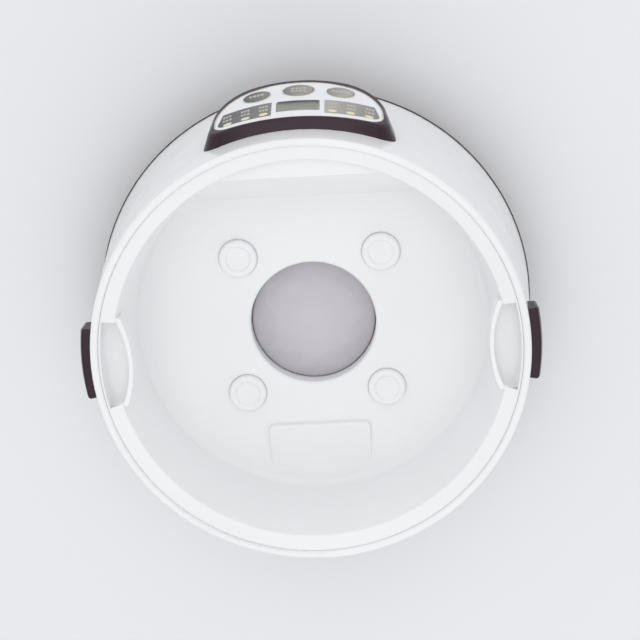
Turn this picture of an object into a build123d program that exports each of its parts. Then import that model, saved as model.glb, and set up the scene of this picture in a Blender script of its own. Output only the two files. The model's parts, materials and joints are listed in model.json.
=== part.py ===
from build123d import *
import os
from math import cos, hypot, radians, sin, sqrt, tan

# Base unit of a round countertop water-bath cooker: a white tub in a white tapered shell,
# on a dark base pan, with a curved D-shaped control panel at the front (-Y).
# Lengths are in millimetres. Heights called "depth" run down from the crest of the rim.
# Everything is drawn about the vertical axis of the tub and shifted by AXIS_Y at export.

# ---- driving dimensions -------------------------------------------------------------
RIM_Z = 145.0            # crest of the rim above the table
RIM_R = 131.1            # outer radius of the shell at the rim
SEAM_R = 141.8           # outer radius of the shell at its lower edge
SEAM_DEPTH = 115.5       # where the shell meets the base pan
WALL = 2.5               # shell and base pan wall
TUB_WALL = 2.2
LIP_R = 126.7            # inner side of the shell's rolled rim
SHELF_DEPTH = 6.0        # hook in the shell that carries the tub flange

TUB_TOP_R = 118.2        # inner edge of the tub's sloping ledge
TUB_TOP_DEPTH = 6.3
FLANGE_R = 126.55        # outer edge of the tub's ledge, just inside the shell's lip
FUNNEL_TOP_DEPTH = 2.6
TUB_WALL_TOP_R = 117.7   # tub wall where the flat front wall starts
TUB_FLOOR_R = 111.5
TUB_FLOOR_DEPTH = 70.4
TUB_FLOOR_FILLET = 5.0
FLAT_TOP_Y = 107.0       # flat front wall of the tub, top and bottom
FLAT_FLOOR_Y = 83.0
FLAT_TOP_DEPTH = 12.0
FLAT_CORNER = 12.0
WELL_R = 40.1            # heater opening in the tub floor
WELL_DEPTH = 10.0
PAD_AT = 45.0            # support pads sit at (+-45, +-45)
PAD_R = 12.0
BUMP_HALF_W = 33.0       # raised block in the floor over the mains inlet
BUMP_FRONT_Y = 67.7      # the block's top slopes from its front down to the floor
BUMP_END_Y = 97.0
BUMP_H = 4.5
POCKET_HALF_ANGLE = 12.6
POCKET_DEPTH = 17.0
POCKET_WALL = 1.0        # tub wall between a pocket and the shell's lip
POCKET_CORNER = (114.6, 25.4)
POCKET_INNER_R = 109.4

BASE_BOTTOM_Z = 4.5
FOOT_R = 9.0
FOOT_AT_R = 108.0
BOSS_TOP_Z = 24.0
PAN_R = 142.5            # the pan's bead stands just proud of the shell all round
PAN_BEAD_H = 2.4
BASE_SCREW_R = 129.0     # ring of screws that hold the pan to the shell
BASE_SCREW_ANGLES = (25, 155, 205, 335)
TUB_SCREW_AT = 62.0

FACE_SLOPE = 15.0        # panel face leans back from vertical
FACE_R = 132.85          # radius of the face cone, extended up to the rim level
DRAFT = 20.0             # flank of the panel housing
REF_Y = -131.5           # plane in which the housing outline is given
FACE_PLATE_T = 1.8
BORDER_PROUD = 0.5
FRONT_BEVEL = 1.2        # bevel along the housing's front edge
CAP_PROUD = 0.8          # button caps stand this far above the face
BUTTON_TRAVEL = 0.6
BUTTON_GAP = 0.25
BOARD_SETBACK = 13.0     # control board in front face, behind the panel face
BOARD_DEPTH = 50.0

HANDLE_HALF_ANGLE = 9.4
HANDLE_TOP_DEPTH = 6.5
HANDLE_R = 138.5
INLET_Z = 54.0

PANEL_REACH = 153.8      # furthest front point, from the tub axis
AXIS_Y = (PANEL_REACH - PAN_R) / 2

os.makedirs("parts", exist_ok=True)


# ---- helpers ------------------------------------------------------------------------
def z_at(depth):
    return RIM_Z - depth


def body_r(depth):
    """Outer radius of the tapered shell at a depth below the rim."""
    return RIM_R + (SEAM_R - RIM_R) * depth / SEAM_DEPTH


def face_r(depth):
    """Radius of the panel face cone at a depth below the rim."""
    return FACE_R + depth * tan(radians(FACE_SLOPE))


def turned(points, angle=360, start=0, rounds=()):
    """Turn an outline of (radius, depth) points about the axis; rounds = (point index, radius)."""
    outline = make_face(Polyline([(r, z_at(d)) for r, d in points], close=True))
    for index, radius in rounds:
        r, d = points[index]
        corner = outline.vertices().sort_by_distance((r, z_at(d), 0))[0]
        outline = fillet(corner, radius)
    return Rot(0, 0, start) * revolve(Plane.XZ * outline, Axis.Z, angle)


def polar(radius, angle):
    return radius * cos(radians(angle)), radius * sin(radians(angle))


def upright(radius, z0, z1, x=0, y=0):
    return Pos(x, y, (z0 + z1) / 2) * Cylinder(radius, z1 - z0)


def block(x0, x1, y0, y1, z0, z1):
    return Pos((x0 + x1) / 2, (y0 + y1) / 2, (z0 + z1) / 2) * Box(x1 - x0, y1 - y0, z1 - z0)


def corners_of(x, y):
    return [(sx * x, sy * y) for sx in (-1, 1) for sy in (-1, 1)]


def along_y(radius, x, depth, y0=-165.0, y1=-90.0):
    return Pos(x, (y0 + y1) / 2, z_at(depth)) * Rot(90, 0, 0) * Cylinder(radius, y1 - y0)


def screw(length, shank=1.5, head=3.0, head_h=1.9):
    """Pan-head screw pointing along +Z, its head below z = 0, with a cross recess."""
    dome = Pos(0, 0, -head_h / 2) * Cylinder(head, head_h)
    dome = fillet(dome.edges().group_by(Axis.Z)[0], head_h * 0.55)
    cross = Pos(0, 0, -head_h) * (Box(head * 1.1, 0.7, 2) + Box(0.7, head * 1.1, 2))
    return dome - cross + Pos(0, 0, length / 2) * Cylinder(shank, length)


def face_frame(angle, depth, inward=0.0):
    """Location on the panel face: local z points out of the face, local x runs along it."""
    r = face_r(depth) - inward / cos(radians(FACE_SLOPE))
    x, y = polar(r, angle - 90)
    out = Vector(*polar(cos(radians(FACE_SLOPE)), angle - 90), sin(radians(FACE_SLOPE)))
    along = Vector(*polar(1, angle), 0)
    return Plane(origin=(x, y, z_at(depth)), x_dir=along, z_dir=out).location


def cone_layer(inner, outer):
    """Turned layer parallel to the panel face, between two offsets along the radius."""
    top, bottom = 5.0, 105.0
    return turned([(face_r(top) + inner, top), (face_r(top) + outer, top),
                   (face_r(bottom) + outer, bottom), (face_r(bottom) + inner, bottom)])


def d_outline(half_w, corner_depth, brow_depth, crown_depth, crown_r, corner, shoulder):
    """D shape in x and height: arched upper edge, straight cheeks, round lower crown."""
    centre_z = z_at(crown_depth) + crown_r
    cheek_z = centre_z - sqrt(crown_r**2 - half_w**2)
    left, right = (-half_w, z_at(corner_depth)), (half_w, z_at(corner_depth))
    edges = [ThreePointArc(left, (0, z_at(brow_depth)), right), Line(right, (half_w, cheek_z)),
             ThreePointArc((half_w, cheek_z), (0, z_at(crown_depth)), (-half_w, cheek_z)),
             Line((-half_w, cheek_z), left)]
    outline = make_face(edges)
    rows = outline.vertices().group_by(Axis.Y)
    outline = fillet(rows[-1], corner)
    return fillet(outline.vertices().group_by(Axis.Y)[0:1][0], shoulder)


def front_prism(outline, y_back=-95.0, y_front=-165.0, draft=0.0):
    """Extrude an x-z outline along Y, its true size in the plane y = REF_Y."""
    plane = Plane(origin=(0, REF_Y, 0), x_dir=(1, 0, 0), z_dir=(0, -1, 0))
    sketch = plane * outline
    front = extrude(sketch, REF_Y - y_front, taper=draft)
    back = extrude(sketch, y_back - REF_Y, dir=(0, 1, 0), taper=-draft)
    return front + back


def save(name, *shapes):
    solids = [s for shape in shapes for s in shape.solids()]
    moved = [Pos(0, AXIS_Y, 0) * s for s in solids]
    export_step(moved[0] if len(moved) == 1 else Compound(children=moved), f"parts/{name}.step")


# ---- panel outlines -----------------------------------------------------------------
def housing_outline(inset=0.0):
    return d_outline(53.5 - inset, 26.9 + inset, 20.6 + inset, 85.1 - inset, 146.0 - inset,
                     10.0 - inset / 2, 31.6 - inset)


def plate_outline(inset=0.0):
    return d_outline(50.4 - inset, 28.9 + inset, 25.2 + inset, 73.5 - inset, 137.0 - inset,
                     10.5 - inset, 29.0 - inset)


# ---- outer shell --------------------------------------------------------------------
def shell_space(inset=0.0):
    """Solid of the outer body from table to rim, inset from its outer surface."""
    return turned([(0, -5), (body_r(-5) - inset, -5), (body_r(130) - inset, 130), (0, 130)])


HOUSING_BOSSES = [(-48.0, 46.0), (48.0, 46.0), (-32.0, 75.0), (32.0, 75.0)]
TAB_R = 5.2              # shell left standing in the panel window round each boss
HANDLE_SCREW_DEPTH = 16.5
HANDLE_SCREW_ANGLES = (-5.5, 5.5)
INLET_HALF_W, INLET_HALF_H = 29.0, 15.5
INLET_SEAT_Y = 132.5


def boss_seat_y(x, depth):
    """Y of the flat screw seat inside the shell at a housing boss."""
    return -sqrt((body_r(depth) - WALL)**2 - x**2) + 2.2


def outer_shell():
    bottom = SEAM_DEPTH
    profile = [(RIM_R, 0), (LIP_R, 0.3), (LIP_R, SHELF_DEPTH), (LIP_R - 3.5, SHELF_DEPTH),
               (LIP_R - 3.5, SHELF_DEPTH + 2), (body_r(8) - WALL, SHELF_DEPTH + 2),
               (SEAM_R - WALL, bottom), (SEAM_R, bottom)]
    shell = turned(profile, rounds=[(0, 2.2), (1, 1.9)])
    for side in (0, 180):
        half = POCKET_HALF_ANGLE + 2.2
        shell -= turned([(LIP_R - 5, 4), (LIP_R, 4), (LIP_R, 9), (LIP_R - 5, 9)], 2 * half, side - half)
    for angle in BASE_SCREW_ANGLES:
        x, y = polar(BASE_SCREW_R, angle)
        lug = upright(5, BOSS_TOP_Z, BOSS_TOP_Z + 20, x, y)
        rib = Rot(0, 0, angle) * block(BASE_SCREW_R, SEAM_R, -2, 2, z_at(SEAM_DEPTH) + 8, BOSS_TOP_Z + 20)
        shell += (lug + rib) & shell_space(0.5)
        shell -= upright(1.5, BOSS_TOP_Z - 1, BOSS_TOP_Z + 13, x, y)
    for x, depth in HOUSING_BOSSES:
        seat = along_y(4.2, x, depth)
        band = block(x - 5, x + 5, -145, boss_seat_y(x, depth), z_at(depth) - 5, z_at(depth) + 5)
        shell += seat & band & shell_space(0.4)
    window = front_prism(housing_outline(4.0), y_back=-90, y_front=-150)
    for x, depth in HOUSING_BOSSES:
        window -= along_y(TAB_R, x, depth)
    shell -= window
    for x, depth in HOUSING_BOSSES:
        shell -= along_y(1.7, x, depth)
    for side in (0, 180):
        for offset in HANDLE_SCREW_ANGLES:
            hole = Pos(130, 0, z_at(HANDLE_SCREW_DEPTH)) * Rot(0, 90, 0) * Cylinder(1.6, 12)
            shell -= Rot(0, 0, side + offset) * hole
    box = block(-INLET_HALF_W - WALL, INLET_HALF_W + WALL, INLET_SEAT_Y - WALL, 150,
                INLET_Z - INLET_HALF_H - WALL, INLET_Z + INLET_HALF_H + WALL)
    shell += box & shell_space(0.2)
    shell -= block(-INLET_HALF_W, INLET_HALF_W, INLET_SEAT_Y, 150,
                   INLET_Z - INLET_HALF_H, INLET_Z + INLET_HALF_H)
    shell -= block(-14.2, 14.2, INLET_SEAT_Y - 10, 150, INLET_Z - 10.7, INLET_Z + 10.7)
    for x in (-21, 21):
        shell -= Pos(x, INLET_SEAT_Y, INLET_Z) * Rot(90, 0, 0) * Cylinder(1.5, 12)
    return shell


# ---- inner tub ----------------------------------------------------------------------
CLAMP_SCREW_R = 52.5
CLAMP_DEPTH = TUB_FLOOR_DEPTH + WELL_DEPTH + TUB_WALL + 3.4


def funnel_depth(radius):
    """Depth of the tub's sloping ledge at a radius."""
    slope = (TUB_TOP_DEPTH - FUNNEL_TOP_DEPTH) / (FLANGE_R - TUB_TOP_R)
    return FUNNEL_TOP_DEPTH + (FLANGE_R - radius) * slope


def tub_space(grow=0.0):
    """Inside of the tub below its ledge, grown by the wall thickness for its outside."""
    top, low = FLAT_TOP_DEPTH, TUB_FLOOR_DEPTH + grow
    top_r, low_r = TUB_WALL_TOP_R + grow, TUB_FLOOR_R + grow
    space = turned([(0, top), (top_r, top), (low_r, low), (0, low)])
    lean = (FLAT_TOP_Y - FLAT_FLOOR_Y) / (TUB_FLOOR_DEPTH - FLAT_TOP_DEPTH)
    wall = [(-FLAT_TOP_Y - grow + lean * (d - top), z_at(d)) for d in (top - 1, low + 1)]
    front = make_face(Polyline([*wall, (-2 * FLAT_TOP_Y, z_at(low + 1)), (-2 * FLAT_TOP_Y, z_at(top - 1))],
                               close=True))
    space -= extrude(Plane.YZ * front, top_r, both=True)
    corners = space.edges().filter_by(lambda e: e.bounding_box().size.Z > 20 and e.center().Y < -FLAT_FLOOR_Y / 2)
    space = fillet(corners, FLAT_CORNER + grow)
    space = fillet(space.edges().group_by(Axis.Z)[0], TUB_FLOOR_FILLET + grow)
    brim = [(0, TUB_TOP_DEPTH), (TUB_TOP_R + grow, TUB_TOP_DEPTH), (top_r, top + grow), (0, top + grow)]
    return space + turned(brim)


def floor_bump(inset=0.0):
    """Wedge in the floor over the mains inlet: upright at its front, running out at its rear."""
    floor, y0 = z_at(TUB_FLOOR_DEPTH), BUMP_FRONT_Y + inset
    slope = BUMP_H / (BUMP_END_Y - BUMP_FRONT_Y)
    top = [(y, floor + (BUMP_END_Y - y) * slope - inset) for y in (y0, BUMP_END_Y + 20)]
    side = make_face(Polyline([*top, (top[1][0], floor - 20), (y0, floor - 20)], close=True))
    bump = extrude(Plane.YZ * side, BUMP_HALF_W - inset, both=True)
    bump = fillet(bump.edges().filter_by(Axis.Z).group_by(Axis.Y)[0], 3.5 - inset)
    return fillet(bump.faces().sort_by(Axis.Z)[-1].edges().group_by(Axis.Y)[:-1], 1.2)


def pocket(grow, z0, z1):
    """Finger pocket on +X: D in plan, bulging towards the middle of the tub."""
    half = POCKET_HALF_ANGLE + grow / 1.8
    outer, inner = FLANGE_R - POCKET_WALL + min(grow, POCKET_WALL), POCKET_INNER_R - grow
    far, near = polar(outer, half), (POCKET_CORNER[0] - grow, POCKET_CORNER[1] + grow)
    edges = [ThreePointArc((far[0], -far[1]), (outer, 0), far), Line(far, near),
             ThreePointArc(near, (inner, 0), (near[0], -near[1])),
             Line((near[0], -near[1]), (far[0], -far[1]))]
    return Pos(0, 0, z0) * extrude(make_face(edges), z1 - z0)


def ledge_edge(tub):
    """Circular inner edge of the sloping ledge."""
    rings = tub.edges().filter_by(GeomType.CIRCLE).filter_by(lambda e: abs(e.radius - TUB_TOP_R) < 0.01)
    return rings.filter_by(lambda e: abs(e.center().Z - z_at(TUB_TOP_DEPTH)) < 0.01)


def inner_tub():
    flange = turned([(TUB_TOP_R - 3, 1), (FLANGE_R, 1), (FLANGE_R, SHELF_DEPTH), (124.2, SHELF_DEPTH),
                     (123.6, 5.2), (TUB_TOP_R + TUB_WALL, 7.6), (TUB_TOP_R - 3, 7.6)])
    mouth = turned([(0, -2), (130, -2), (130, funnel_depth(130)), (TUB_TOP_R, TUB_TOP_DEPTH),
                    (0, TUB_TOP_DEPTH)])
    tub = tub_space(TUB_WALL) - floor_bump(TUB_WALL) + flange
    tub -= tub_space() - floor_bump()
    tub -= mouth
    tub = fillet(ledge_edge(tub), 0.9)
    for turn in (0, 180):
        tub += Rot(0, 0, turn) * pocket(TUB_WALL, z_at(POCKET_DEPTH + TUB_WALL), z_at(TUB_TOP_DEPTH + 1.4))
    for turn in (0, 180):
        void = pocket(0, z_at(POCKET_DEPTH), z_at(-3))
        tub -= Rot(0, 0, turn) * fillet(void.edges().group_by(Axis.Z)[0], 2.5)
    floor = TUB_FLOOR_DEPTH
    ring = WELL_DEPTH + floor + TUB_WALL
    tub += turned([(WELL_R, floor + 1), (WELL_R + 2.2, floor + 1), (WELL_R + 2.2, ring - 2.2),
                   (58, ring - 2.2), (58, ring), (WELL_R, ring)])
    tub -= turned([(0, floor - 3), (WELL_R + 1.0, floor - 3), (WELL_R + 1.0, floor), (WELL_R, floor + 1.0),
                   (WELL_R, ring + 3), (0, ring + 3)])
    for angle in (0, 90, 180, 270):
        x, y = polar(CLAMP_SCREW_R, angle)
        tub += upright(3.4, z_at(CLAMP_DEPTH), z_at(ring - 1), x, y)
        tub -= upright(1.5, z_at(CLAMP_DEPTH) - 1, z_at(CLAMP_DEPTH - 4.8), x, y)
    for x, y in corners_of(PAD_AT, PAD_AT):
        tub -= upright(PAD_R + 0.5, z_at(floor + 0.8), z_at(floor - 2), x, y)
        tub -= upright(2.6, z_at(floor + 5), z_at(floor - 2), x, y)
    for x, y in corners_of(TUB_SCREW_AT, TUB_SCREW_AT):
        tub += upright(5, BOSS_TOP_Z, z_at(floor + 1.5), x, y)
        tub -= upright(1.5, BOSS_TOP_Z - 1, BOSS_TOP_Z + 13, x, y)
    return tub


def support_pad(x, y):
    """Clip-in pad: rounded rim, dished top, stem and barb below the floor."""
    top, foot = TUB_FLOOR_DEPTH - 3.7, TUB_FLOOR_DEPTH + 0.8
    pad = turned([(0, top + 1.1), (7.2, top + 1.1), (8.4, top), (PAD_R, top), (PAD_R, foot),
                  (2.5, foot), (2.5, foot + 1.4), (3.6, foot + 1.4), (2.2, foot + 5), (0, foot + 5)],
                 rounds=[(3, 1.8), (2, 0.5)])
    return Pos(x, y, 0) * pad


# ---- heater -------------------------------------------------------------------------
PLATE_RIM_R = 47.0
PLATE_TOP = TUB_FLOOR_DEPTH + WELL_DEPTH
SEAL_TOP = TUB_FLOOR_DEPTH + WELL_DEPTH + TUB_WALL
RIM_TOP = SEAL_TOP + 1.8
CROWN_UNDER = PLATE_TOP + 2.0
ELEMENT_R, ELEMENT_TUBE_R = 26.0, 3.2
ELEMENT_ARC = 300
SHIELD_DEPTH = 101.0


def heater_plate():
    return turned([(0, PLATE_TOP), (WELL_R - 0.4, PLATE_TOP), (WELL_R - 0.4, RIM_TOP),
                   (PLATE_RIM_R, RIM_TOP), (PLATE_RIM_R, RIM_TOP + 1.6), (37.7, RIM_TOP + 1.6),
                   (37.7, CROWN_UNDER), (0, CROWN_UNDER)], rounds=[(1, 1.2)])


def heater_seal():
    return turned([(WELL_R, SEAL_TOP), (PLATE_RIM_R, SEAL_TOP), (PLATE_RIM_R, RIM_TOP), (WELL_R, RIM_TOP)])


def heating_element():
    centre_z = z_at(CROWN_UNDER) - ELEMENT_TUBE_R
    section = Plane.XZ * Pos(ELEMENT_R, centre_z) * Circle(ELEMENT_TUBE_R)
    start = 180 + (360 - ELEMENT_ARC) / 2
    element = Rot(0, 0, start) * revolve(section, Axis.Z, ELEMENT_ARC)
    for angle in (start, start + ELEMENT_ARC):
        x, y = polar(ELEMENT_R, angle)
        element += Pos(x, y, centre_z) * Sphere(ELEMENT_TUBE_R)
        element += upright(ELEMENT_TUBE_R, centre_z - 9, centre_z, x, y)
        element += upright(1.2, centre_z - 13, centre_z - 9, x, y)
    return element


def heater_clamp():
    top = RIM_TOP + 1.6
    clamp = turned([(38.6, top), (57, top), (57, top + 1.5), (38.6, top + 1.5)])
    for angle in (0, 90, 180, 270):
        clamp -= upright(1.6, z_at(top + 4), z_at(top - 2), *polar(CLAMP_SCREW_R, angle))
    return clamp


def clamp_screws():
    return [Pos(*polar(CLAMP_SCREW_R, angle), z_at(RIM_TOP + 3.1)) * screw(5.8) for angle in (0, 90, 180, 270)]


def sensor_strap():
    """Spring strap under the plate that presses the sensor up, its feet on the clamp ring."""
    top, low, half_w = RIM_TOP + 3.1, 92.0, 6.0
    path = [(-55, top), (-43, top), (-37, low), (37, low), (43, top), (55, top), (55, top + 1),
            (42.6, top + 1), (36.6, low + 1), (-36.6, low + 1), (-42.6, top + 1), (-55, top + 1)]
    outline = Plane.XZ * make_face(Polyline([(x, z_at(d)) for x, d in path], close=True))
    return Rot(0, 0, 65) * extrude(outline, half_w, both=True)


def temperature_sensor():
    return turned([(0, CROWN_UNDER), (6, CROWN_UNDER), (6, 88), (8, 88), (8, 92), (0, 92)], rounds=[(1, 1.0)])


def thermal_cutout():
    z1 = z_at(CROWN_UNDER)
    case = block(10.5, 20.5, -4, 4, z1 - 5, z1)
    tabs = [block(14, 17, s * 6 - 2, s * 6 + 2, z1 - 4, z1 - 3.2) for s in (-1, 1)]
    return case + tabs


def heat_shield():
    shield = turned([(0, SHIELD_DEPTH), (60, SHIELD_DEPTH), (60, SHIELD_DEPTH - 6), (60.8, SHIELD_DEPTH - 6),
                     (60.8, SHIELD_DEPTH + 0.8), (0, SHIELD_DEPTH + 0.8)])
    for angle in (45, 135, 225, 315):
        tab = block(54.6, 55.6, -5, 5, z_at(SHIELD_DEPTH + 0.5), z_at(RIM_TOP + 4.1))
        foot = block(50.0, 55.6, -5, 5, z_at(RIM_TOP + 4.1), z_at(RIM_TOP + 3.1))
        shield += Rot(0, 0, angle) * (tab + foot)
    for angle in range(0, 360, 30):
        slot = Pos(40, 0, z_at(SHIELD_DEPTH)) * extrude(SlotOverall(18, 4), 4, both=True)
        shield -= Rot(0, 0, angle + 15) * slot
    return shield


# ---- base pan and what stands on it ---------------------------------------------------
BOARD_Z = 16.0
POWER_BOARD = (-48.0, 48.0, 8.0, 74.0)
POWER_POSTS = [(x, y) for x in (-43.0, 43.0) for y in (13.0, 69.0)]


def base_pan():
    seam = z_at(SEAM_DEPTH)
    floor = BASE_BOTTOM_Z + WALL

    def profile(inset, low, top):
        return [(0, RIM_Z - low), (134.0 - inset, RIM_Z - low), (SEAM_R - inset, RIM_Z - seam + 3.5),
                (SEAM_R - inset, RIM_Z - top), (0, RIM_Z - top)]

    pan = turned(profile(0, BASE_BOTTOM_Z, seam), rounds=[(1, 9.0), (2, 6.0)])
    bead_low = SEAM_DEPTH + PAN_BEAD_H
    pan += turned([(SEAM_R - 1, SEAM_DEPTH), (PAN_R, SEAM_DEPTH), (PAN_R, bead_low), (SEAM_R - 1, bead_low)],
                  rounds=[(1, 0.3), (2, 0.5)])
    pan -= turned(profile(WALL, floor, seam + 1), rounds=[(1, 7.0), (2, 5.0)])
    lip_in, lip_out = SEAM_R - 2 * WALL - 0.9, SEAM_R - WALL - 0.8
    lip = turned([(lip_in, RIM_Z - seam - 6), (lip_out, RIM_Z - seam - 6), (lip_out, RIM_Z - seam),
                  (lip_out + 1.0, RIM_Z - seam), (lip_out + 1.0, RIM_Z - seam + 3), (lip_in, RIM_Z - seam + 3)])
    for angle in BASE_SCREW_ANGLES:
        lip -= Rot(0, 0, angle) * block(120, 145, -6.5, 6.5, seam - 0.01, seam + 8)
    pan += lip
    seats = [polar(BASE_SCREW_R, a) for a in BASE_SCREW_ANGLES] + corners_of(TUB_SCREW_AT, TUB_SCREW_AT)
    for x, y in seats:
        pan += upright(5.2, floor - 1, BOSS_TOP_Z, x, y)
    for x, y in seats:
        pan -= upright(3.6, BASE_BOTTOM_Z - 1, BASE_BOTTOM_Z + 12, x, y)
        pan -= upright(1.7, BASE_BOTTOM_Z, BOSS_TOP_Z + 1, x, y)
    for x, y in POWER_POSTS:
        pan += upright(3.5, floor - 0.5, BOARD_Z, x, y) - upright(1.3, BOARD_Z - 6, BOARD_Z + 1, x, y)
    for angle in (45, 135, 225, 315):
        pan -= upright(3.0, 0, floor + 1, *polar(FOOT_AT_R, angle))
    for row in range(-3, 4):
        for y in (-34.0, -62.0):
            slot = extrude(Rot(0, 0, 90) * SlotOverall(20, 4.5), 5, both=True)
            pan -= Pos(row * 12, y, BASE_BOTTOM_Z) * slot
    pan -= block(-35, 35, 84, 112, BASE_BOTTOM_Z - 1, BASE_BOTTOM_Z + 0.6)
    return pan


def rubber_foot(angle):
    x, y = polar(FOOT_AT_R, angle)
    top = RIM_Z - BASE_BOTTOM_Z
    foot = turned([(0, RIM_Z), (FOOT_R - 1, RIM_Z), (FOOT_R, top), (3, top), (3, top - WALL),
                   (4, top - WALL), (2.4, top - WALL - 4), (0, top - WALL - 4)], rounds=[(1, 0.8)])
    return Pos(x, y, 0) * foot


def base_screws(places):
    return [Pos(x, y, BASE_BOTTOM_Z + 12) * screw(BOSS_TOP_Z + 11 - BASE_BOTTOM_Z - 12) for x, y in places]


def power_board():
    x0, x1, y0, y1 = POWER_BOARD
    board = block(x0, x1, y0, y1, BOARD_Z, BOARD_Z + 1.6)
    for x, y in POWER_POSTS:
        board -= upright(1.7, BOARD_Z - 1, BOARD_Z + 3, x, y)
    return board


def power_board_screws():
    fastener = Rot(180, 0, 0) * screw(6.5, shank=1.3, head=2.6, head_h=1.6)
    return [Pos(x, y, BOARD_Z + 1.6) * fastener for x, y in POWER_POSTS]


def transformer():
    base = BOARD_Z + 1.6
    core = block(-40, -10, 28, 54, base, base + 18)
    winding = block(-37, -13, 25, 57, base + 4, base + 14)
    winding = fillet(winding.edges().filter_by(Axis.Z), 3)
    return core + winding


def relay():
    base = BOARD_Z + 1.6
    case = block(4, 23, 44, 60, base, base + 15.5)
    return fillet(case.edges().group_by(Axis.Z)[-1], 0.8)


def capacitors():
    base = BOARD_Z + 1.6
    cans = []
    for x, y, r, h in ((8, 22, 5, 16), (22, 22, 5, 16), (35, 30, 4, 11)):
        can = upright(r, base, base + h, x, y)
        cans.append(fillet(can.edges().group_by(Axis.Z)[-1], 0.8))
    return cans


def terminal_block():
    base = BOARD_Z + 1.6
    body = block(30, 40, 42, 64, base, base + 10)
    for i in range(4):
        body -= block(36, 41, 43.5 + 5.2 * i, 47.3 + 5.2 * i, base + 2, base + 7)
    return body


# ---- control panel --------------------------------------------------------------------
BUTTONS = {"left": (-9.8, 60.7, 15.8, 12.8), "centre": (0.0, 62.0, 18.0, 14.6),
           "right": (9.8, 60.7, 15.8, 12.8)}           # angle, depth, width, height
LENS_ANGLES = (-17.1, -12.6, -8.2, 8.2, 12.6, 17.1)
LENS_DEPTH, LENS_W, LENS_H = 34.2, 5.4, 3.6
LCD_HALF_W, LCD_TOP, LCD_BOTTOM = 12.9, 34.6, 49.0
BLOCK_T = 0.3            # indicator labels lie this deep in the face plate
RING_W = 0.6
FLANGE_W = 1.4           # flange that keeps a button behind the face plate
BOARD_HALF_W, BOARD_HALF_H = 44.0, 22.0


def oval(angle, depth, width, height, inner, outer, grow=0.0):
    """Elliptical prism square to the panel face, between two heights above the face."""
    shape = extrude(Ellipse(width / 2 + grow, height / 2 + grow), outer - inner)
    return face_frame(angle, depth) * Pos(0, 0, inner) * shape


def on_housing_front(edge):
    """Whether an edge lies on the housing's front cone from end to end."""
    points = [edge @ (step / 4) for step in range(5)]
    return all(abs(hypot(p.X, p.Y) - face_r(RIM_Z - p.Z) - BORDER_PROUD) < 0.05 for p in points)


def panel_housing():
    body = front_prism(housing_outline(), draft=DRAFT) & cone_layer(-50, BORDER_PROUD)
    body = chamfer(body.edges().filter_by(on_housing_front), FRONT_BEVEL)
    body -= front_prism(plate_outline()) & cone_layer(-FACE_PLATE_T, 9)
    body -= front_prism(plate_outline(1.6))
    body -= front_prism(housing_outline(2.5), draft=DRAFT) & cone_layer(-60, -4.2)
    for x, depth in HOUSING_BOSSES:
        body += along_y(3.2, x, depth) & cone_layer(-50, -3)
    body -= shell_space()
    body -= front_prism(plate_outline()) & cone_layer(-FACE_PLATE_T, 9)
    for angle, depth, width, height in BUTTONS.values():
        body -= oval(angle, depth, width, height, -7, -FACE_PLATE_T + 0.2, FLANGE_W + 0.5)
    for x, depth in HOUSING_BOSSES:
        body -= along_y(1.5, x, depth) & cone_layer(-60, -5)
    return body


def label_block(side):
    """Outline in x and height of the indicator label on one side of the display."""
    inner, outer_top, outer_low = 15.7, 45.4, 48.9
    points = [(inner, z_at(49.2)), (outer_top, z_at(49.2)), (outer_low, z_at(33.6)), (inner, z_at(31.2))]
    brow = ThreePointArc(points[3], (32.0, z_at(32.0)), points[2])
    edges = [Line(points[0], points[1]), Line(points[1], points[2]), brow, Line(points[3], points[0])]
    outline = make_face(edges)
    outline = fillet(outline.vertices().group_by(Axis.X)[-1], 4.5)
    return outline if side > 0 else mirror(outline, Plane.YZ)


def lenses(grow=0.0, inner=-FACE_PLATE_T, outer=0.25):
    return [oval(a, LENS_DEPTH, LENS_W, LENS_H, inner, outer, grow) for a in LENS_ANGLES]


def display_opening():
    outline = RectangleRounded(2 * LCD_HALF_W, LCD_BOTTOM - LCD_TOP, 1.0)
    return front_prism(Pos(0, z_at((LCD_TOP + LCD_BOTTOM) / 2)) * outline, y_back=-110)


def board_posts():
    places = ((-36.5, 8), (36.5, 8), (-13.4, -18.6), (13.4, -18.6))
    return [face_frame(0, BOARD_DEPTH) * Pos(x, y, 0) for x, y in places]


def face_plate():
    plate = (front_prism(plate_outline(TRIM_W)) & cone_layer(-FACE_PLATE_T, 0)) - display_opening()
    for angle, depth, width, height in BUTTONS.values():
        plate -= oval(angle, depth, width, height, -6, 4, RING_W + BUTTON_GAP)
    for side in (-1, 1):
        plate -= front_prism(label_block(side)) & cone_layer(-BLOCK_T, 3)
    for lens in lenses(0.02, -5, 3):
        plate -= lens
    for post in board_posts():
        pillar = post * Pos(0, 0, -BOARD_SETBACK / 2) * Cylinder(2.2, BOARD_SETBACK)
        plate += pillar & cone_layer(-40, -FACE_PLATE_T / 2)
    for post in board_posts():
        plate -= post * Pos(0, 0, -BOARD_SETBACK) * Cylinder(1.0, 11)
    return plate


TRIM_W = 0.7


def face_trim():
    """Thin bright edge line between the face plate and the housing."""
    ring = front_prism(plate_outline()) - front_prism(plate_outline(TRIM_W))
    return ring & cone_layer(-FACE_PLATE_T, 0.35)


def button_ring(angle, depth, width, height):
    outer = oval(angle, depth, width, height, -FACE_PLATE_T + 0.2, 0.3, RING_W + BUTTON_GAP)
    return outer - oval(angle, depth, width, height, -4, 3, BUTTON_GAP)


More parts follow.
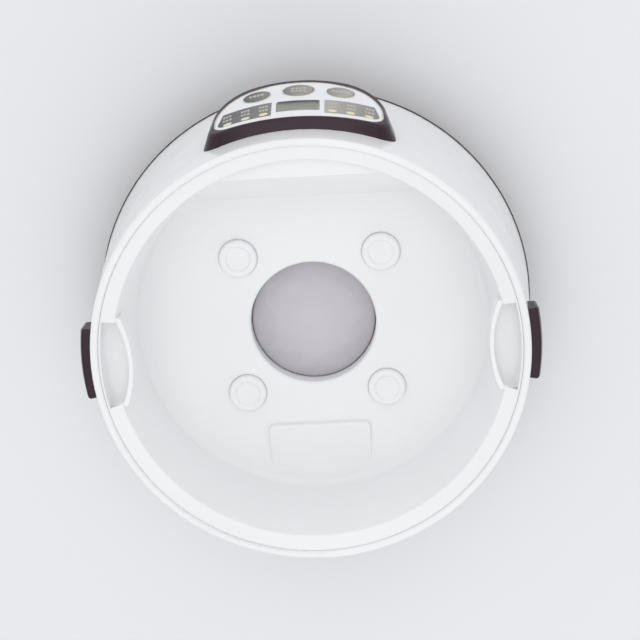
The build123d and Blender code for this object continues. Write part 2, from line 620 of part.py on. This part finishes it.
def button(angle, depth, width, height):
    """Oval cap with a softened crown, a retaining flange under the plate, and a stem."""
    cap = extrude(Ellipse(width / 2, height / 2), FACE_PLATE_T + 1.6 + CAP_PROUD)
    cap = fillet(cap.edges().group_by(Axis.Z)[-1], 0.7)
    cap = Pos(0, 0, -FACE_PLATE_T - 1.6) * cap
    flange_top = -FACE_PLATE_T - 0.5
    flange = extrude(Ellipse(width / 2 + FLANGE_W, height / 2 + FLANGE_W), 1.2)
    cap += Pos(0, 0, flange_top - 1.2) * flange
    stem_end = -(BOARD_SETBACK - SWITCH_H - PLUNGER_PROUD) + face_drop(angle, depth)
    cap += Pos(0, 0, (flange_top + stem_end) / 2) * Cylinder(2.4, flange_top - stem_end)
    return face_frame(angle, depth) * cap


SWITCH_H = 3.4
PLUNGER_PROUD = 1.6


def board_plane():
    return face_frame(0, BOARD_DEPTH) * Pos(0, 0, -BOARD_SETBACK)


def face_drop(angle, depth):
    """How much nearer the board is at a button than straight behind the panel middle."""
    here = face_frame(angle, depth)
    board = Plane(board_plane())
    offset = (Vector(*here.position) - board.origin).dot(board.z_dir)
    slant = Plane(here).z_dir.dot(board.z_dir)
    return BOARD_SETBACK - offset / slant


def switch_place(angle, depth):
    """Foot of the button's axis on the control board, square to the button."""
    here = face_frame(angle, depth)
    return here * Pos(0, 0, -(BOARD_SETBACK - face_drop(angle, depth)))


def plunger(angle, depth):
    low, high = SWITCH_H - 1.3, SWITCH_H + PLUNGER_PROUD
    return switch_place(angle, depth) * Pos(0, 0, (low + high) / 2) * Cylinder(1.7, high - low)


def tact_switch(angle, depth):
    place = switch_place(angle, depth)
    case = Pos(0, 0, SWITCH_H / 2) * Box(6.2, 6.2, SWITCH_H)
    bore = Pos(0, 0, SWITCH_H) * Cylinder(1.8, 2 * (1.3 + BUTTON_TRAVEL))
    legs = block(-3.1, 3.1, -3.1, 3.1, -2.5, 0.5)
    slab = board_plane() * Pos(0, 0, 25) * Box(200, 200, 50)
    return place * ((case + legs) - bore) & slab


def control_board():
    slab = board_plane() * Pos(0, 0, -0.8) * Box(2 * BOARD_HALF_W, 2 * BOARD_HALF_H, 1.6)
    board = slab & front_prism(housing_outline(7.5))
    for x, depth in HOUSING_BOSSES:
        board -= along_y(TAB_R + 1, x, depth)
    for post in board_posts():
        board -= post * Pos(0, 0, -BOARD_SETBACK) * Cylinder(1.4, 6)
    return board


def board_screws():
    return [post * Pos(0, 0, -BOARD_SETBACK - 1.6) * screw(7, shank=1.0, head=2.3, head_h=1.4)
            for post in board_posts()]


def indicator_leds():
    leds = []
    for angle in LENS_ANGLES:
        tangent = face_frame(angle, LENS_DEPTH)
        spot = Plane(board_plane()).to_local_coords(Vector(*tangent.position))
        dome = Cylinder(1.5, 2.0) + Pos(0, 0, 1.0) * Sphere(1.5)
        leds.append(board_plane() * Pos(spot.X, spot.Y, 1.0) * (dome + Pos(0, 0, -0.7) * Cylinder(1.8, 0.6)))
    return leds


def lcd_frame():
    return face_frame(0, (LCD_TOP + LCD_BOTTOM) / 2)


def lcd_window():
    return display_opening() & cone_layer(-FACE_PLATE_T, -0.35)


def lcd_module():
    glass = Pos(0, 0, -4.2) * Box(31, 19, 2.6)
    frame = Pos(0, 0, -6.2) * Box(33, 20.5, 1.4)
    foot = Pos(0, 0, -(6.9 + BOARD_SETBACK) / 2) * Box(1.6, 1.6, BOARD_SETBACK - 6.9)
    feet = [Pos(x, y, 0) * foot for x, y in corners_of(14.5, 8)]
    return lcd_frame() * (glass + frame + feet)


def control_chip():
    chip = board_plane() * Pos(10, -6, -2.7) * Box(14, 10, 2.2)
    crystal = board_plane() * Pos(-8, -6, -3.1) * Box(10, 4.5, 3.0)
    return [chip, crystal]


def housing_screws():
    screws = []
    for x, depth in HOUSING_BOSSES:
        seat = Pos(x, boss_seat_y(x, depth), z_at(depth)) * Rot(90, 0, 0)
        screws.append(seat * screw(11 if depth > 60 else 7.4))
    return screws


# ---- handles --------------------------------------------------------------------------
def side_handle(turn):
    top, low = HANDLE_TOP_DEPTH, 26.0
    grip = turned([(body_r(top) - 1, top), (HANDLE_R - 1.2, top), (HANDLE_R, top + 4), (HANDLE_R - 0.3, low - 3),
                   (body_r(low) - 1, low)], 2 * HANDLE_HALF_ANGLE, turn - HANDLE_HALF_ANGLE,
                  rounds=[(1, 1.6), (2, 1.8), (3, 2.0)])
    ends = grip.edges().filter_by(lambda e: abs(e.tangent_at(0.5).Z) > 0.7)
    ends = [e for e in ends if hypot(e.center().X, e.center().Y) > HANDLE_R - 3]
    grip = fillet(ends, 2.0)
    grip -= shell_space()
    for offset in HANDLE_SCREW_ANGLES:
        hole = Pos(body_r(16) - 1, 0, z_at(HANDLE_SCREW_DEPTH)) * Rot(0, 90, 0) * Cylinder(1.4, 10)
        grip -= Rot(0, 0, turn + offset) * hole
    return grip


def handle_screws():
    seat = body_r(HANDLE_SCREW_DEPTH) - WALL - 0.35
    place = Pos(seat, 0, z_at(HANDLE_SCREW_DEPTH)) * Rot(0, 90, 0)
    return [Rot(0, 0, turn + offset) * place * screw(6, shank=1.4, head=2.6, head_h=1.4)
            for turn in (0, 180) for offset in HANDLE_SCREW_ANGLES]


# ---- mains inlet ------------------------------------------------------------------------
def ac_inlet():
    flange = block(-26, 26, INLET_SEAT_Y, INLET_SEAT_Y + 3, INLET_Z - 12.5, INLET_Z + 12.5)
    flange = fillet(flange.edges().filter_by(Axis.Y), 4)
    body = block(-14, 14, INLET_SEAT_Y - 26, INLET_SEAT_Y + 1, INLET_Z - 10.5, INLET_Z + 10.5)
    body = fillet(body.edges().filter_by(Axis.Y), 3)
    socket = block(-12, 12, INLET_SEAT_Y - 15, INLET_SEAT_Y + 9, INLET_Z - 8, INLET_Z + 8)
    upper = socket.edges().filter_by(Axis.Y).group_by(Axis.Z)[-1]
    inlet = flange + body - chamfer(upper, 4)
    for x in (-21, 21):
        inlet -= Pos(x, INLET_SEAT_Y, INLET_Z) * Rot(90, 0, 0) * Cylinder(1.7, 12)
    return inlet


def inlet_pins():
    spots = ((-7, -1.5), (7, -1.5), (0, 3.0))
    pins = []
    for x, dz in spots:
        pins.append(block(x - 1, x + 1, INLET_SEAT_Y - 15, INLET_SEAT_Y - 1, INLET_Z + dz - 2, INLET_Z + dz + 2))
        pins.append(block(x - 3, x + 3, INLET_SEAT_Y - 34, INLET_SEAT_Y - 26,
                          INLET_Z + dz - 0.4, INLET_Z + dz + 0.4))
    return pins


def inlet_screws():
    return [Pos(x, INLET_SEAT_Y + 3, INLET_Z) * Rot(90, 0, 0) * screw(8, shank=1.5, head=2.9, head_h=1.8)
            for x in (-21, 21)]


def rating_plate():
    plate = block(-34.7, 34.7, 84.3, 111.7, BASE_BOTTOM_Z, BASE_BOTTOM_Z + 0.6)
    return fillet(plate.edges().filter_by(Axis.Z), 2)


# ---- write the sub-parts ----------------------------------------------------------------
save("outer_shell", outer_shell())
save("inner_tub", inner_tub())
save("support_pads", *[support_pad(x, y) for x, y in corners_of(PAD_AT, PAD_AT)])
save("base_pan", base_pan())
save("rubber_feet", *[rubber_foot(angle) for angle in (45, 135, 225, 315)])
save("base_screws", *base_screws([polar(BASE_SCREW_R, angle) for angle in BASE_SCREW_ANGLES]))
save("tub_screws", *base_screws(corners_of(TUB_SCREW_AT, TUB_SCREW_AT)))
save("rating_plate", rating_plate())

save("heater_plate", heater_plate())
save("heater_seal", heater_seal())
save("heating_element", heating_element())
save("heater_clamp", heater_clamp())
save("clamp_screws", *clamp_screws())
save("sensor_strap", sensor_strap())
save("temperature_sensor", temperature_sensor())
save("thermal_cutout", thermal_cutout())
save("heat_shield", heat_shield())

save("power_board", power_board())
save("power_board_screws", *power_board_screws())
save("transformer", transformer())
save("relay", relay())
save("capacitors", *capacitors())
save("terminal_block", terminal_block())

save("panel_housing", panel_housing())
save("housing_screws", *housing_screws())
save("face_plate", face_plate())
save("face_trim", face_trim())
for name, side in (("indicator_label_right", 1), ("indicator_label_left", -1)):
    label = front_prism(label_block(side)) & cone_layer(-BLOCK_T, 0)
    for opening in lenses(0.02, -5, 3):
        label -= opening
    save(name, label)
save("indicator_lenses", *lenses())
save("lcd_window", lcd_window())
save("lcd_module", lcd_module())
save("button_rings", *[button_ring(*spec) for spec in BUTTONS.values()])
for name, spec in BUTTONS.items():
    save(f"button_{name}", button(*spec))
    save(f"plunger_{name}", plunger(*spec[:2]))
save("tact_switches", *[tact_switch(*spec[:2]) for spec in BUTTONS.values()])
save("control_board", control_board())
save("board_screws", *board_screws())
save("indicator_leds", *indicator_leds())
save("control_chips", *control_chip())

save("handle_right", side_handle(0))
save("handle_left", side_handle(180))
save("handle_screws", *handle_screws())
save("ac_inlet", ac_inlet())
save("inlet_pins", *inlet_pins())
save("inlet_screws", *inlet_screws())
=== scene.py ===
import json
from math import cos, pi, radians, sin, tan

import bmesh
import bpy
from mathutils import Matrix, Vector


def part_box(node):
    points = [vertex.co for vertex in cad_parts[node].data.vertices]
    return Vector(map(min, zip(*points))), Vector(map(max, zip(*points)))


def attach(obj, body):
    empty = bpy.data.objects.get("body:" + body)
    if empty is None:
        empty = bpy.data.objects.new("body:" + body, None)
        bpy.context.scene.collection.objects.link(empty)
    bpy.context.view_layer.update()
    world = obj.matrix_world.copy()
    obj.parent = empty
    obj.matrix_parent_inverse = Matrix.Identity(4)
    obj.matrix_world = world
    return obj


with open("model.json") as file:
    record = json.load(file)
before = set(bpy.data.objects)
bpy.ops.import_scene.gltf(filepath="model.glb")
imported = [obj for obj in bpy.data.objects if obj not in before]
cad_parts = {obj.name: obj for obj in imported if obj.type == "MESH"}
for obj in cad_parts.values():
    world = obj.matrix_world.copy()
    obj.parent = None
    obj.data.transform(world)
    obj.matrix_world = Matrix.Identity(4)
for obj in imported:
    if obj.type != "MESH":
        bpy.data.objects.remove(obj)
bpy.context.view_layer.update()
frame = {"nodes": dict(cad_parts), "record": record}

# The visual model of a round water-bath cooker base. Lengths are in metres.
# "Depth" runs down from the crest of the rim, as in the CAD.

MM = 0.001

TUB_LOW, TUB_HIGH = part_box("inner_tub")
AXIS = Vector(((TUB_LOW[0] + TUB_HIGH[0]) / 2, (TUB_LOW[1] + TUB_HIGH[1]) / 2, 0))
RIM_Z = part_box("outer_shell")[1][2]
FACE_SLOPE = radians(15)
FACE_R = 132.85 * MM       # radius of the panel face, extended up to the rim's level
BUTTON_PLACES = {"left": (-9.8, 60.7), "centre": (0.0, 62.0), "right": (9.8, 60.7)}  # degrees, mm deep
BUTTON_TOP = 0.8 * MM      # height of the button caps above the face
LENS_ANGLES = (8.2, 12.6, 17.1)


# ---- camera ---------------------------------------------------------------------------
def make_camera():
    """Looks down into the tub from the panel side, rolled so that the panel is at the top."""
    right = Vector((-0.99808, 0.05714, -0.02391)).normalized()
    forward = Vector((0.03972, 0.29420, -0.95491)).normalized()
    up = right.cross(forward).normalized()
    right = forward.cross(up)
    data = bpy.data.cameras.new("camera")
    data.sensor_width = 36.0
    data.lens = 84.4
    data.clip_end = 50
    camera = bpy.data.objects.new("camera", data)
    camera.matrix_world = Matrix((
        (right.x, up.x, -forward.x, 0), (right.y, up.y, -forward.y, 0),
        (right.z, up.z, -forward.z, 0), (0, 0, 0, 1)))
    camera.location = AXIS + Vector((-0.0423, -0.2830, RIM_Z + 0.8429))
    bpy.context.scene.collection.objects.link(camera)
    bpy.context.scene.camera = camera


# ---- materials --------------------------------------------------------------------------
class Shader:
    """A Principled material with object coordinates, built up node by node.

    Further socket values are given by name, with _ for a space.
    """

    def __init__(self, name, color, rough, **fixed):
        self.material = bpy.data.materials.new(name)
        self.material.use_nodes = True
        self.nodes = self.material.node_tree.nodes
        self.links = self.material.node_tree.links
        self.bsdf = self.nodes["Principled BSDF"]
        self.bsdf.inputs["Base Color"].default_value = (*color, 1)
        self.bsdf.inputs["Roughness"].default_value = rough
        self.bsdf.inputs["Subsurface Radius"].default_value = (1, 1, 1)
        for key, value in fixed.items():
            self.bsdf.inputs[key.replace("_", " ")].default_value = value
        self.color = color
        self.place = self.nodes.new("ShaderNodeTexCoord").outputs["Object"]
        self.height = None

    def noise(self, scale, detail=3.0, stretch=None):
        node = self.nodes.new("ShaderNodeTexNoise")
        node.inputs["Scale"].default_value = scale
        node.inputs["Detail"].default_value = detail
        source = self.place
        if stretch:
            mapping = self.nodes.new("ShaderNodeMapping")
            mapping.inputs["Scale"].default_value = stretch
            self.links.new(source, mapping.inputs["Vector"])
            source = mapping.outputs["Vector"]
        self.links.new(source, node.inputs["Vector"])
        return node.outputs["Fac"]

    def spread(self, source, low, high, start=0.3, end=0.7):
        node = self.nodes.new("ShaderNodeMapRange")
        values = (start, end, low, high)
        for key, value in zip(("From Min", "From Max", "To Min", "To Max"), values):
            node.inputs[key].default_value = value
        self.links.new(source, node.inputs["Value"])
        return node.outputs["Result"]

    def mottle(self, source, other):
        """Base colour wanders between its own value and another."""
        ramp = self.nodes.new("ShaderNodeValToRGB")
        ramp.color_ramp.elements[0].position = 0.3
        ramp.color_ramp.elements[1].position = 0.7
        ramp.color_ramp.elements[0].color = (*self.color, 1)
        ramp.color_ramp.elements[1].color = (*other, 1)
        self.links.new(source, ramp.inputs["Fac"])
        self.links.new(ramp.outputs["Color"], self.bsdf.inputs["Base Color"])
        return self

    def fade(self, source, start, end, colors):
        """Base colour runs through a list of colours between two values of the source."""
        wander = self.nodes.new("ShaderNodeMath")
        self.links.new(self.spread(source, 0.0, 1.0, start, end), wander.inputs[0])
        self.links.new(self.spread(self.noise(150.0, 4.0), -0.05, 0.05), wander.inputs[1])
        ramp = self.nodes.new("ShaderNodeValToRGB")
        stops = ramp.color_ramp.elements
        for k, color in enumerate(colors):
            position = k / (len(colors) - 1)
            stop = stops[k] if k < 2 else stops.new(position)
            stop.position = position
            stop.color = (*color, 1)
        self.links.new(wander.outputs["Value"], ramp.inputs["Fac"])
        self.links.new(ramp.outputs["Color"], self.bsdf.inputs["Base Color"])
        return self

    def rougher(self, source, low, high):
        self.links.new(self.spread(source, low, high), self.bsdf.inputs["Roughness"])
        return self

    def bump(self, source, depth):
        node = self.nodes.new("ShaderNodeBump")
        node.inputs["Distance"].default_value = depth
        node.inputs["Strength"].default_value = 1.0
        self.links.new(source, node.inputs["Height"])
        if self.height:
            self.links.new(self.height, node.inputs["Normal"])
        self.height = node.outputs["Normal"]
        self.links.new(self.height, self.bsdf.inputs["Normal"])
        return self


def shade(factor, color):
    return tuple(min(1.0, c * factor) for c in color)


def moulded(name, color, rough, grain, depth, **fixed):
    """Moulded plastic: slow colour drift, uneven gloss and a fine surface grain."""
    s = Shader(name, color, rough, **fixed)
    s.mottle(s.noise(9.0, 4.0), shade(0.97, color))
    s.rougher(s.noise(45.0, 5.0), rough * 0.85, rough * 1.2)
    return s.bump(s.noise(grain, 2.0), depth).material


def metal(name, color, rough, stretch=(1, 1, 1), **fixed):
    """Metal or metallic film with a drawn grain along the unstretched direction."""
    s = Shader(name, color, rough, Metallic=1.0, **fixed)
    grain = s.noise(220.0, 3.0, stretch)
    s.mottle(grain, shade(0.86, color))
    s.rougher(grain, rough * 0.8, rough * 1.25)
    return s.bump(grain, 0.00001).material


def reflection_film(name, dark, light, x_dark, x_light):
    """Metallic printed film with a painted reflection: its tone runs across the part, from x_dark to
    x_light.
    """
    s = Shader(name, dark, 0.34, Metallic=0.85)
    parts = s.nodes.new("ShaderNodeSeparateXYZ")
    s.links.new(s.place, parts.inputs["Vector"])
    s.fade(parts.outputs["X"], x_dark, x_light, (dark, light))
    grain = s.noise(220.0, 3.0, (1, 6, 6))
    s.rougher(grain, 0.28, 0.42)
    return s.bump(grain, 0.00001).material


def hot_plate_material():
    """Bead-blasted aluminium with painted shade: lighter in the middle and darker towards its edge."""
    s = Shader("hot_plate", (0.60, 0.565, 0.60), 0.5, Metallic=0.25)
    low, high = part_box("heater_plate")
    away = s.nodes.new("ShaderNodeVectorMath")
    away.operation = "DISTANCE"
    away.inputs[1].default_value = (AXIS.x, AXIS.y, high[2])
    s.links.new(s.place, away.inputs[0])
    # Painted shade: the plate darkens from its middle towards its edge, where the well's rim shades it.
    painted_shade_tones = ((0.66, 0.62, 0.665), (0.60, 0.565, 0.605), (0.42, 0.395, 0.425))
    s.fade(away.outputs["Value"], 0.0, (high[0] - low[0]) / 2, painted_shade_tones)
    s.rougher(s.noise(90.0, 4.0), 0.42, 0.58)
    return s.bump(s.noise(2600.0, 2.0), 0.00004).material


def glass_material():
    s = Shader("display_glass", (0.93, 0.95, 0.90), 0.03, Transmission_Weight=1.0, IOR=1.49)
    return s.bump(s.noise(60.0, 2.0), 0.000004).material


def make_materials():
    white = (0.915, 0.92, 0.925)
    return {
        "display_glass": glass_material(),
        "white_shell": moulded("white_shell", white, 0.22, 900.0, 0.000006,
                               Coat_Weight=0.25, Coat_Roughness=0.08, Subsurface_Weight=0.05,
                               Subsurface_Scale=0.004),
        "white_tub": moulded("white_tub", (0.925, 0.93, 0.935), 0.34, 700.0, 0.00001,
                             Coat_Weight=0.1, Coat_Roughness=0.2),
        "face_white": moulded("face_white", (0.88, 0.89, 0.93), 0.16, 900.0, 0.000003, Coat_Weight=0.4),
        "aubergine": moulded("aubergine", (0.024, 0.0075, 0.016), 0.19, 700.0, 0.000004,
                             Specular_IOR_Level=0.36),
        "champagne": metal("champagne", (0.74, 0.70, 0.58), 0.25),
        # Labels and buttons: each film carries a painted reflection that runs across the part.
        "label_right": reflection_film("label_right", (0.14, 0.135, 0.13), (0.29, 0.285, 0.275), 0.049, 0.0157),
        "label_left": reflection_film("label_left", (0.30, 0.29, 0.275), (0.54, 0.52, 0.46), -0.049, -0.0157),
        "lens_cream": moulded("lens_cream", (0.80, 0.74, 0.50), 0.2, 900.0, 0.000004, Coat_Weight=0.5),
        "button_left": reflection_film("button_left", (0.33, 0.32, 0.30), (0.52, 0.50, 0.46), -0.0147, -0.0305),
        "button_centre": reflection_film("button_centre", (0.27, 0.26, 0.245), (0.45, 0.43, 0.40), 0.009, -0.009),
        "button_right": reflection_film("button_right", (0.18, 0.175, 0.17), (0.34, 0.33, 0.32), 0.0305, 0.0147),
        "mark": moulded("mark", (0.52, 0.51, 0.47), 0.5, 900.0, 0.000004),
        "display": moulded("display", (0.40, 0.40, 0.315), 0.3, 500.0, 0.000004),
        "display_dim": moulded("display_dim", (0.33, 0.33, 0.26), 0.35, 500.0, 0.000004),
        "hot_plate": hot_plate_material(),
        "silicone": moulded("silicone", (0.70, 0.69, 0.67), 0.5, 500.0, 0.00002, Subsurface_Weight=0.2,
                            Subsurface_Scale=0.003),
        "feet_rubber": moulded("feet_rubber", (0.035, 0.035, 0.036), 0.75, 900.0, 0.00005),
        "steel": metal("steel", (0.56, 0.56, 0.57), 0.28, (1, 12, 1)),
        "screws": metal("screws", (0.62, 0.61, 0.58), 0.22),
        "black_plastic": moulded("black_plastic", (0.022, 0.022, 0.023), 0.42, 1200.0, 0.00002),
        "circuit_green": moulded("circuit_green", (0.02, 0.13, 0.05), 0.3, 800.0, 0.00001),
        "terminal_green": moulded("terminal_green", (0.05, 0.30, 0.16), 0.4, 800.0, 0.00001),
        "transformer_core": moulded("transformer_core", (0.09, 0.08, 0.07), 0.6, 1500.0, 0.00005),
        "led_clear": moulded("led_clear", (0.85, 0.82, 0.70), 0.1, 800.0, 0.000002,
                             Subsurface_Weight=0.3, Subsurface_Scale=0.002),
        "brass_pins": metal("brass_pins", (0.75, 0.64, 0.38), 0.25),
        "plate_silver": metal("plate_silver", (0.62, 0.62, 0.63), 0.4, (1, 8, 8)),
        "plunger_dark": moulded("plunger_dark", (0.02, 0.02, 0.02), 0.5, 900.0, 0.00001),
    }


# These parts share a slot in the record, but each gets its own copy of the film, toned lighter or
# darker with a painted reflection.
REFLECTION_TONED_FINISH = {"indicator_label_left": "label_left", "indicator_label_right": "label_right",
              "button_left": "button_left", "button_centre": "button_centre",
              "button_right": "button_right"}


def paint(thing, material):
    thing.data.materials.clear()
    thing.data.materials.append(material)


def paint_nodes(materials):
    slot_of = {s["node"]: s["material_slot"] for s in frame["record"]["subparts"]}
    for name, node in frame["nodes"].items():
        for entry in node.material_slots:
            entry.material = materials[REFLECTION_TONED_FINISH.get(name, slot_of[name])]


# ---- marks on the panel -------------------------------------------------------------------
def face_frame(angle, depth, lift=0.0):
    """Frame on the panel face: x along the face, y up the face, z out of it."""
    r = FACE_R + depth * MM * tan(FACE_SLOPE)
    a = radians(angle - 90)
    out = Vector((cos(a) * cos(FACE_SLOPE), sin(a) * cos(FACE_SLOPE), sin(FACE_SLOPE)))
    along = Vector((-sin(a), cos(a), 0))
    up = out.cross(along)
    origin = AXIS + Vector((r * cos(a), r * sin(a), RIM_Z - depth * MM)) + out * lift
    turn = Matrix((along, up, out)).transposed().to_4x4()
    return Matrix.Translation(origin) @ turn


def finish_piece(name, bm, material, body):
    bmesh.ops.remove_doubles(bm, verts=bm.verts, dist=1e-7)
    bmesh.ops.recalc_face_normals(bm, faces=bm.faces)
    data = bpy.data.meshes.new(name)
    bm.to_mesh(data)
    bm.free()
    piece = bpy.data.objects.new(name, data)
    bpy.context.scene.collection.objects.link(piece)
    paint(piece, material)
    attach(piece, body)
    return piece


def add_prism(bm, place, outline, thick, edge):
    """Raised shape with a small chamfer round its top, on a plane given by a matrix."""
    cx = sum(p[0] for p in outline) / len(outline)
    cy = sum(p[1] for p in outline) / len(outline)
    rings = []
    for z, shrink in ((-thick * 0.4, 0.0), (thick - edge, 0.0), (thick, edge)):
        ring = []
        for x, y in outline:
            reach = max(((x - cx)**2 + (y - cy)**2)**0.5, 1e-9)
            k = 1 - shrink / reach
            ring.append(bm.verts.new(place @ Vector((cx + (x - cx) * k, cy + (y - cy) * k, z))))
        rings.append(ring)
    count = len(outline)
    for low, high in zip(rings, rings[1:]):
        for i in range(count):
            j = (i + 1) % count
            bm.faces.new((low[i], low[j], high[j], high[i]))
    bm.faces.new(rings[-1])
    bm.faces.new(rings[0][::-1])


def bar_outline(x, y, width, height):
    """Rounded bar centred at x, y, in metres."""
    r, points = min(width, height) * 0.42, []
    for quarter in range(4):
        sx, sy = (1, 1, -1, -1)[quarter], (1, -1, -1, 1)[quarter]
        cx, cy = x + sx * (width / 2 - r), y + sy * (height / 2 - r)
        for step in range(4):
            t = pi / 2 - quarter * pi / 2 - step * pi / 6
            points.append((cx + r * cos(t), cy + r * sin(t)))
    return points


def ring_outline(x, y, r, count=24):
    return [(x + r * cos(2 * pi * i / count), y + r * sin(2 * pi * i / count)) for i in range(count)]


def add_row(bm, place, y, widths, height, gap, thick):
    """A row of short bars that stands in for one line of lettering."""
    x = -(sum(widths) + gap * (len(widths) - 1)) / 2
    for width in widths:
        add_prism(bm, place, bar_outline(x + width / 2, y, width, height), thick, thick * 0.4)
        x += width + gap


# Rows of bars on each cap: height on the cap, widths of the bars, height of the bars, in mm.
BUTTON_ROWS = {"left": [(0.0, (1.9, 1.5, 2.2, 1.3, 1.9), 2.9)],
               "centre": [(2.1, (1.7, 2.3, 1.5, 2.0), 2.6), (-1.7, (2.2, 1.4, 1.9, 2.3), 2.6)],
               "right": [(0.0, (2.1, 1.4, 2.3, 1.7), 2.9)]}


def button_marks(materials):
    for name, (angle, depth) in BUTTON_PLACES.items():
        bm = bmesh.new()
        place = face_frame(angle, depth, BUTTON_TOP)
        for y, widths, height in BUTTON_ROWS[name]:
            add_row(bm, place, y * MM, [w * MM for w in widths], height * MM, 0.55 * MM, 0.08 * MM)
        finish_piece(f"mark_{name}", bm, materials["mark"], f"button_{name}")


def label_marks(materials):
    """Two short rows beneath each indicator lens."""
    for side, name in ((-1, "left"), (1, "right")):
        bm = bmesh.new()
        for k, angle in enumerate(LENS_ANGLES):
            for depth, widths in ((44.6, (1.5, 1.2, 1.6)), (40.0, (1.8, 1.3 + 0.2 * k, 1.2))):
                place = face_frame(side * angle, depth)
                add_row(bm, place, 0, [w * MM for w in widths], 2.6 * MM, 0.5 * MM, 0.06 * MM)
        finish_piece(f"label_marks_{name}", bm, materials["mark"], "base")


# Segments of one digit: place across and up as parts of its half width and half height, and
# whether the segment lies flat.
SEGMENTS = ((0, 1, True), (0, 0, True), (0, -1, True),
            (-1, 0.5, False), (1, 0.5, False), (-1, -0.5, False), (1, -0.5, False))


def display_segments(materials):
    """Unlit digit segments behind the window."""
    bm = bmesh.new()
    place = face_frame(0, 41.8, -2.9 * MM)
    half_w, half_h, stroke = 1.55 * MM, 3.1 * MM, 0.6 * MM
    for centre in (-8.4, -3.6, 3.6, 8.4):
        for sx, sy, flat in SEGMENTS:
            size = (2.3 * MM, stroke) if flat else (stroke, 2.5 * MM)
            outline = bar_outline(centre * MM + sx * half_w, sy * half_h, *size)
            add_prism(bm, place, outline, 0.05 * MM, 0.02 * MM)
    for y in (-1.3, 1.3):
        add_prism(bm, place, ring_outline(0, y * MM, 0.45 * MM, 12), 0.05 * MM, 0.02 * MM)
    finish_piece("display_segments", bm, materials["display_dim"], "base")


# ---- floor and light ------------------------------------------------------------------------
def make_floor():
    s = Shader("floor", (0.86, 0.862, 0.875), 0.55)
    s.mottle(s.noise(2.0, 3.0), (0.84, 0.843, 0.857))
    bm = bmesh.new()
    half, level = 6.0, -0.0002
    signs = ((-1, -1), (1, -1), (1, 1), (-1, 1))
    bm.faces.new([bm.verts.new((x * half, y * half, level)) for x, y in signs])
    data = bpy.data.meshes.new("floor")
    bm.to_mesh(data)
    bm.free()
    floor = bpy.data.objects.new("floor", data)
    bpy.context.scene.collection.objects.link(floor)
    paint(floor, s.material)


def make_light(name, place, aim, size, power, color=(1, 1, 1)):
    data = bpy.data.lights.new(name, "AREA")
    data.shape, data.size, data.size_y = "RECTANGLE", size[0], size[1]
    data.energy, data.color = power, color
    lamp = bpy.data.objects.new(name, data)
    lamp.location = place
    lamp.rotation_euler = (Vector(aim) - Vector(place)).to_track_quat("-Z", "Y").to_euler()
    bpy.context.scene.collection.objects.link(lamp)


def make_lights():
    world = bpy.data.worlds.new("studio")
    world.use_nodes = True
    background = world.node_tree.nodes["Background"]
    background.inputs["Color"].default_value = (0.97, 0.98, 1.0, 1)
    background.inputs["Strength"].default_value = 0.83
    bpy.context.scene.world = world
    target = (0, 0, 0.08)
    make_light("key_box", (0.1, -1.3, 2.2), target, (1.8, 1.2), 5)
    make_light("top_box", (-0.1, 0.5, 2.4), target, (2.0, 2.0), 4)
    make_light("front_fill", (0.1, -1.5, 0.5), (0, 0, 0.03), (2.0, 0.8), 2)
    make_light("rear_strip", (-0.4, 1.8, 0.9), target, (1.8, 0.5), 3)
    bpy.context.scene.view_settings.view_transform = "Standard"


make_camera()
MATERIALS = make_materials()
paint_nodes(MATERIALS)
button_marks(MATERIALS)
label_marks(MATERIALS)
display_segments(MATERIALS)
make_floor()
make_lights()
